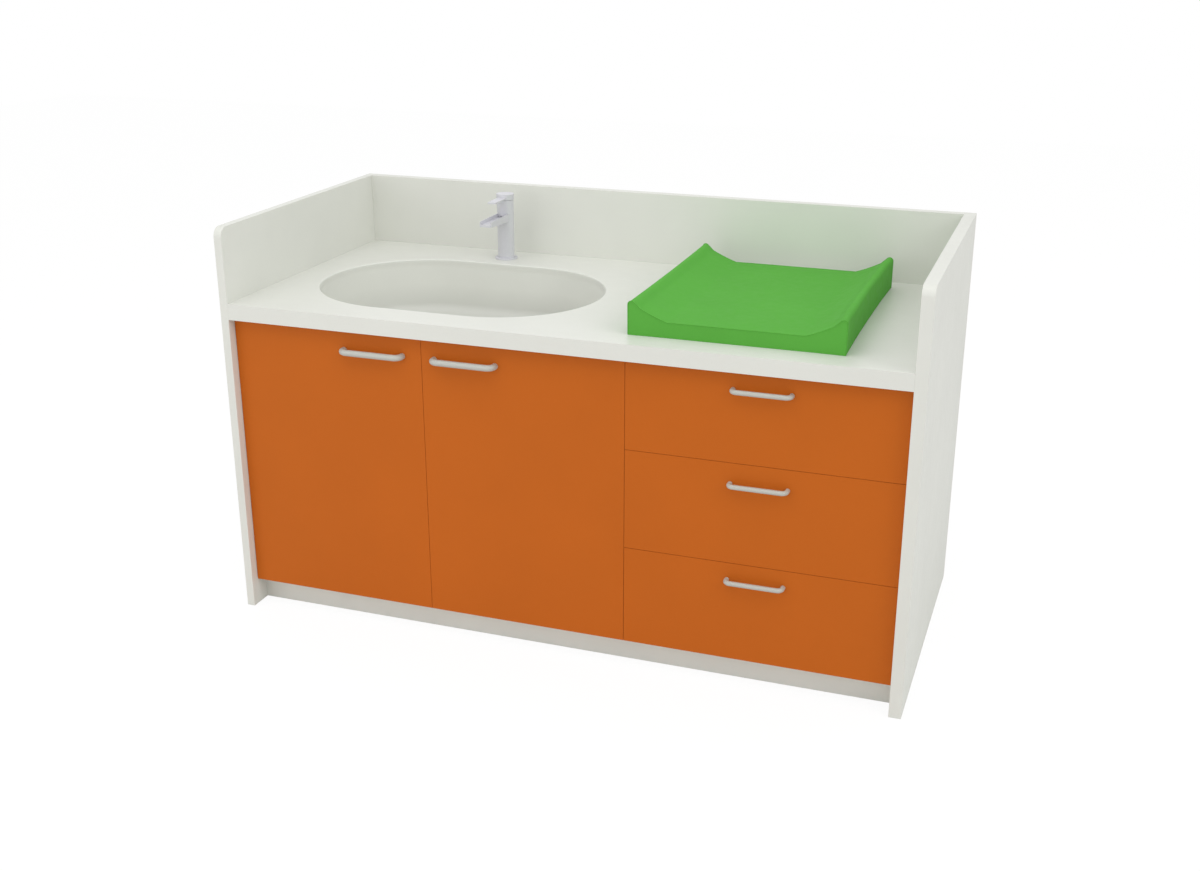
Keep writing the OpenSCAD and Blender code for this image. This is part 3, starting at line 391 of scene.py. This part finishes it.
# These keep their triangles: round pieces, and boxes with ring-shaped faces
WHOLE = ("tap_body", "tap_lever", "tap_base_ring",
         "top_drawer_box", "middle_drawer_box", "low_drawer_box")
EDGES = {
    0.0004: ("left_side_panel", "right_side_panel", "bottom_panel", "partition", "splashback",
             "plinth_boards", "front_rails", "wall_rail", "left_door", "right_door",
             "top_drawer_front", "middle_drawer_front", "low_drawer_front", "worktop"),
    0.0005: ("top_drawer_box", "middle_drawer_box", "low_drawer_box",
             "tap_lever", "tap_base_ring"),
    0.0003: ("worktop_battens", "worktop_core", "tap_body", "hinge_arms"),
}
for radius, names in EDGES.items():
    for name in names:
        ease_edges(name, radius)


# Changing mat: foam in a coated cover, raised along both sides

MAT_HALF, MAT_FLAT = 0.265, 0.165          # half the width, half the flat middle
MAT_MID, MAT_TOP = 0.0395, 0.087           # heights of the middle and of the crests
MAT_KINK = (0.231, 0.0685)                 # where a ramp turns steeper towards its crest
MAT_RAMP = (0.77, 0.23)                    # straight and curved share of a ramp's rise
MAT_FOOT, MAT_CREST = 0.003, 0.009         # radii of the lower edges and of the crests
MAT_WAIST = 0.003                          # how far the sides are drawn in half way along
MAT_SHRINK = 0.0015                        # the foam starts smaller, and the cover swells it
MAT_SWELL = 0.0028                         # furthest that the simulation may move a point
MAT_BEAD = 0.0010                          # radius of the welded seams

# Steps across half the section: middle, ramp, steep part, crest, outer side, foot
FLAT_N, RAMP_N, STEEP_N, CREST_N, SIDE_N, FOOT_N = 17, 8, 3, 5, 8, 2
RIM_ROW, END_ROW = 0.0022, 0.006           # two close rows along each end
ROW_N = 64                                 # steps between the inner rows of both ends
END_RINGS = (0.06, 0.22, 0.48, 0.76, 1.0)  # rings of an end panel, on the way to its spine
DECIMALS = 6                               # of metres, for points of an end panel that meet

CLOTH_FRAMES = 20
CLOTH = {"quality": 6, "mass": 0.4, "tension_stiffness": 40, "compression_stiffness": 40,
         "shear_stiffness": 20, "bending_stiffness": 2.0,
         "use_pressure": True, "uniform_pressure_force": 4.0}


def spaced(start, end, n):
    """Points after start, evenly on to end."""
    return [(start[0] + (end[0] - start[0]) * i / n, start[1] + (end[1] - start[1]) * i / n)
            for i in range(1, n + 1)]


def arc(centre, radius, start, end, n):
    """Points from the angle start on to end, in degrees."""
    return [(centre[0] + radius * math.cos(math.radians(start + (end - start) * i / n)),
             centre[1] + radius * math.sin(math.radians(start + (end - start) * i / n)))
            for i in range(n + 1)]


def cushion_section():
    """Half the section from the top's middle line outwards, down and back under to the middle.

    The middle and the ramp have the same places across on top and underneath."""
    half, flat, top = MAT_HALF - MAT_SHRINK, MAT_FLAT, MAT_TOP - MAT_SHRINK
    mid = MAT_MID - MAT_SHRINK
    kink = (MAT_KINK[0], MAT_KINK[1] - MAT_SHRINK)
    upper = [(flat * i / FLAT_N, mid) for i in range(FLAT_N + 1)]
    for i in range(1, RAMP_N + 1):
        t = i / RAMP_N
        upper.append((flat + (kink[0] - flat) * t,
                      mid + (kink[1] - mid) * t * (MAT_RAMP[0] + MAT_RAMP[1] * t)))
    centre = (half - MAT_CREST, top - MAT_CREST)
    across, up = centre[0] - kink[0], centre[1] - kink[1]
    tangent = math.degrees(math.atan2(up, across)
                           + math.asin(MAT_CREST / math.hypot(across, up)))
    crest = arc(centre, MAT_CREST, 90 + tangent, 0, CREST_N)
    outer = spaced(kink, crest[0], STEEP_N)[:-1] + crest
    outer += spaced((half, centre[1]), (half, MAT_FOOT), SIDE_N)
    outer += arc((half - MAT_FOOT, MAT_FOOT), MAT_FOOT, 0, -90, FOOT_N)[1:]
    lower = [(x, 0.0) for x, z in reversed(upper)]
    return upper, outer, lower


def cushion_loop():
    """The whole section as a loop, and for each of its points the point of the spine that the
    end panels close on."""
    upper, outer, lower = cushion_section()
    right = upper + outer + lower
    spine = [(x, z / 2) for x, z in upper]
    spine += [spine[-1]] * len(outer) + list(reversed(spine))
    left = [(-x, z) for x, z in reversed(right[1:-1])]
    left_spine = [(-x, z) for x, z in reversed(spine[1:-1])]
    return right + left, spine + left_spine


def end_panel(bm, vertex, y, ring, points, spine, turn):
    """Closes an end from its ring inwards. Points that meet on the spine are shared."""
    n = len(ring)
    for share in END_RINGS:
        shared = {}
        inner = []
        for (x, z), (sx, sz) in zip(points, spine):
            at = (x + (sx - x) * share, z + (sz - z) * share)
            key = (round(at[0], DECIMALS), round(at[1], DECIMALS))
            if key not in shared:
                shared[key] = vertex(at[0], y, at[1])
            inner.append(shared[key])
        for i in range(n):
            j = (i + 1) % n
            corners = [ring[i], ring[j], inner[j], inner[i]][::turn]
            face = [v for k, v in enumerate(corners) if v is not corners[k - 1]]
            if len(face) > 2:
                bm.faces.new(face)
        ring = inner


def finished_mesh(name, bm):
    bmesh.ops.recalc_face_normals(bm, faces=bm.faces)
    mesh = bpy.data.meshes.new(name)
    bm.to_mesh(mesh)
    bm.free()
    return mesh


def swell(obj, lowest, furthest):
    """Blows the cover up over the foam. No point moves further than `furthest`, or below the
    height `lowest`."""
    scene = bpy.context.scene
    cloth = obj.modifiers.new("cloth", "CLOTH")
    for key, value in CLOTH.items():
        setattr(cloth.settings, key, value)
    cloth.settings.effector_weights.gravity = 0.0
    cloth.collision_settings.use_collision = False
    cloth.point_cache.frame_start = 1
    cloth.point_cache.frame_end = CLOTH_FRAMES
    for frame_number in range(1, CLOTH_FRAMES + 1):
        scene.frame_set(frame_number)
    ready = obj.evaluated_get(bpy.context.evaluated_depsgraph_get())
    swollen = [v.co.copy() for v in ready.data.vertices]
    obj.modifiers.remove(cloth)
    scene.frame_set(1)
    for v, new in zip(obj.data.vertices, swollen):
        move = new - v.co
        if move.length > furthest:
            move *= furthest / move.length
        v.co += move
        v.co.z = max(v.co.z, lowest)


def weld_bead(name, points):
    """The welded seam round an end panel, a thin closed bead."""
    curve = bpy.data.curves.new(name, "CURVE")
    curve.dimensions = "3D"
    curve.bevel_depth = MAT_BEAD
    curve.bevel_resolution = 2
    spline = curve.splines.new("POLY")
    spline.points.add(len(points) - 1)
    spline.use_cyclic_u = True
    for p, co in zip(spline.points, points):
        p.co = (*co, 1.0)
    obj = add_object(name, curve)
    curve.materials.append(LOOKS["mat_green"])
    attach(obj, "changing_mat")


def add_mat():
    lo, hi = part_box("changing_mat")
    mid_x, z0 = (lo.x + hi.x) / 2, lo.z
    y0, y1 = lo.y + MAT_SHRINK, hi.y - MAT_SHRINK
    length = y1 - y0
    loop, spine = cushion_loop()
    n = len(loop)
    rows = [END_ROW + (length - 2 * END_ROW) * i / ROW_N for i in range(1, ROW_N)]
    rows = [0.0, RIM_ROW, END_ROW] + rows + [length - END_ROW, length - RIM_ROW, length]
    bm = bmesh.new()

    def vertex(x, y, z):
        return bm.verts.new((mid_x + x, y, z0 + z))

    rings = []
    for y in rows:
        k = 1 - MAT_WAIST * math.sin(math.pi * y / length) / MAT_HALF
        rings.append([vertex(x * k, y0 + y, z) for x, z in loop])
    for a, b in zip(rings, rings[1:]):
        for i in range(n):
            j = (i + 1) % n
            bm.faces.new((a[i], b[i], b[j], a[j]))
    for ring, y, turn in ((rings[0], y0, 1), (rings[-1], y1, -1)):
        end_panel(bm, vertex, y, ring, loop, spine, turn)
    mesh = finished_mesh("mat_cover", bm)
    obj = add_object("mat_cover", mesh)
    mesh.materials.append(LOOKS["mat_green"])
    swell(obj, z0, MAT_SWELL)
    smooth_faces(mesh)
    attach(obj, "changing_mat")
    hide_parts("changing_mat")
    for name, first in (("mat_weld_front", 0), ("mat_weld_back", (len(rows) - 1) * n)):
        points = [v.co.copy() for v in mesh.vertices[first:first + n]]
        for p in points:
            p.z = max(p.z, z0 + MAT_BEAD)
        weld_bead(name, points)
    smooth = obj.modifiers.new("smooth", "SUBSURF")
    smooth.levels = 1
    smooth.render_levels = 1


add_mat()


# Tap: a thin skirt round the lever's cap, which reaches down to just above the body

SKIRT_INSIDE, SKIRT_OUTSIDE = 0.0243, 0.0251   # radii
SKIRT_OVER_BODY, SKIRT_UNDER_TOP = 0.0010, 0.0005
SKIRT_ROW = 0.006                          # from its top down to a row on its inside
SKIRT_EASE = 0.0002
SKIRT_SIDES = 96


def add_skirt():
    lo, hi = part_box("tap_base_ring")
    x, y = (lo.x + hi.x) / 2, (lo.y + hi.y) / 2
    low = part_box("tap_body")[1].z + SKIRT_OVER_BODY
    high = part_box("tap_lever")[1].z - SKIRT_UNDER_TOP
    inside, outside, ease, n = SKIRT_INSIDE, SKIRT_OUTSIDE, SKIRT_EASE, SKIRT_SIDES
    profile = [(inside, high - SKIRT_ROW), (inside, low + ease), (inside + ease, low),
               (outside - ease, low), (outside, low + ease), (outside, high - ease),
               (outside - ease, high), (inside, high)]
    bm = bmesh.new()
    rings = []
    for r, z in profile:
        rings.append([bm.verts.new((x + r * math.cos(2 * math.pi * i / n),
                                    y + r * math.sin(2 * math.pi * i / n), z))
                      for i in range(n)])
    for a, b in zip(rings, rings[1:] + rings[:1]):
        for i in range(n):
            j = (i + 1) % n
            bm.faces.new((a[i], a[j], b[j], b[i]))
    mesh = finished_mesh("tap_lever_skirt", bm)
    smooth_faces(mesh)
    obj = add_object("tap_lever_skirt", mesh)
    mesh.materials.append(LOOKS["tap_metal"])
    obj.modifiers.new("normals", "WEIGHTED_NORMAL")
    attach(obj, "tap_lever")


add_skirt()


# Studio: pale floor, even sky, soft lamps above, on the right and on the left in front

PLAIN_WHITE = (1.0, 1.0, 1.0, 1.0)
FLOOR_HALF = 9.0
FLOOR_Z = -0.0006                          # just clear of the feet
FLOOR_COLOUR = (0.83, 0.83, 0.825, 1.0)
FLOOR_GLOW, FLOOR_SHARE = 1.05, 0.86       # what the camera sees instead, and how much of it
SKY = 0.78                                 # the light that the sky gives
LAMPS = (                                  # name, place, target, size, watts
    ("top_lamp", (-0.4, -1.2, 3.4), (0.0, 0.0, 0.6), (3.2, 2.4), 24.0),
    ("right_lamp", (5.9, -2.4, 5.0), (0.0, 0.0, 0.7), (4.5, 4.0), 110.0),
    ("left_lamp", (-3.5, -4.5, 1.4), (0.3, 0.0, 0.5), (4.0, 2.4), 31.0),
)


def put_out(tree, kind, share, plain, seen):
    """Sends `plain` to the output, with the part `share` of `seen` in its place."""
    mix = new_node(tree, "ShaderNodeMixShader")
    for a, b in zip((share, plain.outputs[0], seen.outputs[0]), mix.inputs):
        tree.links.new(a, b)
    tree.links.new(mix.outputs[0], new_node(tree, kind).inputs["Surface"])


def add_floor():
    """It takes the object's shadow, and the camera sees it nearly white."""
    s, z = FLOOR_HALF, FLOOR_Z
    mesh = bpy.data.meshes.new("floor")
    mesh.from_pydata([(-s, -s, z), (s, -s, z), (s, s, z), (-s, s, z)], [], [(0, 1, 2, 3)])
    obj = add_object("floor", mesh)
    mat = bpy.data.materials.new("floor")
    mat.use_nodes = True
    tree = mat.node_tree
    tree.nodes.clear()
    ray = new_node(tree, "ShaderNodeLightPath")
    share = new_node(tree, "ShaderNodeMath", {1: FLOOR_SHARE}, operation="MULTIPLY")
    tree.links.new(ray.outputs["Is Camera Ray"], share.inputs[0])
    diffuse = new_node(tree, "ShaderNodeBsdfDiffuse", {"Color": FLOOR_COLOUR})
    glow = new_node(tree, "ShaderNodeEmission", {"Color": PLAIN_WHITE, "Strength": FLOOR_GLOW})
    put_out(tree, "ShaderNodeOutputMaterial", share.outputs[0], diffuse, glow)
    mesh.materials.append(mat)


def add_sky():
    """It lights evenly, and is white to the camera, in gloss and through what is clear."""
    world = bpy.data.worlds.new("studio")
    bpy.context.scene.world = world
    world.use_nodes = True
    tree = world.node_tree
    tree.nodes.clear()
    sky = new_node(tree, "ShaderNodeBackground", {"Color": PLAIN_WHITE, "Strength": SKY})
    white = new_node(tree, "ShaderNodeBackground", {"Color": PLAIN_WHITE, "Strength": 1.0})
    ray = new_node(tree, "ShaderNodeLightPath")
    share = ray.outputs["Is Camera Ray"]
    for kind in ("Is Glossy Ray", "Is Transmission Ray"):
        either = new_node(tree, "ShaderNodeMath", operation="MAXIMUM")
        tree.links.new(share, either.inputs[0])
        tree.links.new(ray.outputs[kind], either.inputs[1])
        share = either.outputs[0]
    put_out(tree, "ShaderNodeOutputWorld", share, sky, white)


def add_lamp(name, place, target, size, watts):
    data = bpy.data.lights.new(name, "AREA")
    data.shape = "RECTANGLE"
    data.size, data.size_y = size
    data.energy = watts
    obj = add_object(name, data)
    obj.location = place
    obj.rotation_euler = (Vector(target) - Vector(place)).to_track_quat("-Z", "Y").to_euler()


add_floor()
add_sky()
for lamp in LAMPS:
    add_lamp(*lamp)
bpy.context.scene.view_settings.view_transform = "Standard"
